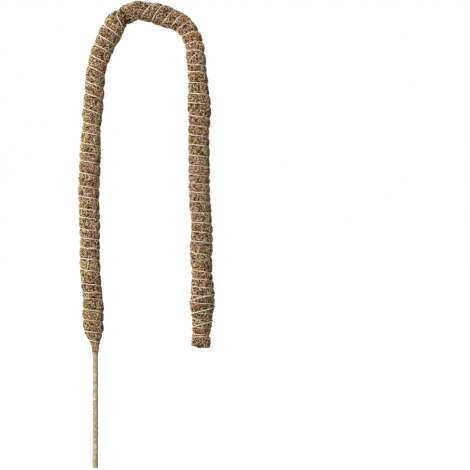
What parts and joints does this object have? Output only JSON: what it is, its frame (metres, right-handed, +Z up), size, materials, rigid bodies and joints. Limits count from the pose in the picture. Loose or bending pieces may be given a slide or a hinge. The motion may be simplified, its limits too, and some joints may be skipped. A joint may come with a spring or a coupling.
{
  "type": "moss pole",
  "caption": "Bendable plant support: a steel wire in a jute wrap, sleeved in coir fibre mat and bound with a spiral of twine, with a bare stake below and an arched top.",
  "frame": {"origin": "centre of the stake's flat cut end", "axes": "+Z up along the stake, +X from the riser to the hanging arm, -Y the front; the arch lies in the XZ plane"},
  "size_m": [0.1892, 0.0369, 0.6601],
  "materials": {
    "wire": "plain drawn steel wire",
    "wrap": "tight wrap of khaki jute tape",
    "coir": "matted brown coir fibre with straw-coloured strands",
    "twine": "pale twisted jute twine"
  },
  "bodies": {
    "riser": {"core_wire_riser": "wire", "core_wrap_riser": "wrap", "coir_sleeve_riser": "coir", "binding_twine_riser": "twine", "start_knot": "twine", "core_wire_riser_bend": "wire", "core_wrap_riser_bend": "wrap", "coir_sleeve_riser_bend": "coir", "binding_twine_riser_bend": "twine"},
    "haunch": {"core_wire_haunch": "wire", "core_wrap_haunch": "wrap", "coir_sleeve_haunch": "coir", "binding_twine_haunch": "twine", "core_wire_haunch_bend": "wire", "core_wrap_haunch_bend": "wrap", "coir_sleeve_haunch_bend": "coir", "binding_twine_haunch_bend": "twine"},
    "left_shoulder": {"core_wire_left_shoulder": "wire", "core_wrap_left_shoulder": "wrap", "coir_sleeve_left_shoulder": "coir", "binding_twine_left_shoulder": "twine", "core_wire_left_shoulder_bend": "wire", "core_wrap_left_shoulder_bend": "wrap", "coir_sleeve_left_shoulder_bend": "coir", "binding_twine_left_shoulder_bend": "twine"},
    "crown": {"core_wire_crown": "wire", "core_wrap_crown": "wrap", "coir_sleeve_crown": "coir", "binding_twine_crown": "twine", "core_wire_crown_bend": "wire", "core_wrap_crown_bend": "wrap", "coir_sleeve_crown_bend": "coir", "binding_twine_crown_bend": "twine"},
    "right_shoulder": {"core_wire_right_shoulder": "wire", "core_wrap_right_shoulder": "wrap", "coir_sleeve_right_shoulder": "coir", "binding_twine_right_shoulder": "twine", "core_wire_right_shoulder_bend": "wire", "core_wrap_right_shoulder_bend": "wrap", "coir_sleeve_right_shoulder_bend": "coir", "binding_twine_right_shoulder_bend": "twine"},
    "arm": {"core_wire_arm": "wire", "core_wrap_arm": "wrap", "coir_sleeve_arm": "coir", "binding_twine_arm": "twine", "end_knot": "twine"}
  },
  "joints": [
    {"name": "riser_bend", "type": "hinge", "parent": "riser", "child": "haunch", "pos_m": [0.00445, 0, 0.57917], "axis": [0, 1, 0], "range_deg": [-24, 2.5], "deforming": ["core_wire_riser_bend", "core_wrap_riser_bend", "coir_sleeve_riser_bend", "binding_twine_riser_bend"]},
    {"name": "haunch_bend", "type": "hinge", "parent": "haunch", "child": "left_shoulder", "pos_m": [0.03617, 0, 0.63555], "axis": [0, 1, 0], "range_deg": [-30, 2.5], "deforming": ["core_wire_haunch_bend", "core_wrap_haunch_bend", "coir_sleeve_haunch_bend", "binding_twine_haunch_bend"]},
    {"name": "left_shoulder_bend", "type": "hinge", "parent": "left_shoulder", "child": "crown", "pos_m": [0.06806, 0, 0.64653], "axis": [0, 1, 0], "range_deg": [-30, 2.5], "deforming": ["core_wire_left_shoulder_bend", "core_wrap_left_shoulder_bend", "coir_sleeve_left_shoulder_bend", "binding_twine_left_shoulder_bend"]},
    {"name": "crown_bend", "type": "hinge", "parent": "crown", "child": "right_shoulder", "pos_m": [0.12046, 0, 0.62758], "axis": [0, 1, 0], "range_deg": [-27, 2.5], "deforming": ["core_wire_crown_bend", "core_wrap_crown_bend", "coir_sleeve_crown_bend", "binding_twine_crown_bend"]},
    {"name": "right_shoulder_bend", "type": "hinge", "parent": "right_shoulder", "child": "arm", "pos_m": [0.1396, 0, 0.59974], "axis": [0, 1, 0], "range_deg": [-27, 2.5], "deforming": ["core_wire_right_shoulder_bend", "core_wrap_right_shoulder_bend", "coir_sleeve_right_shoulder_bend", "binding_twine_right_shoulder_bend"]}
  ]
}
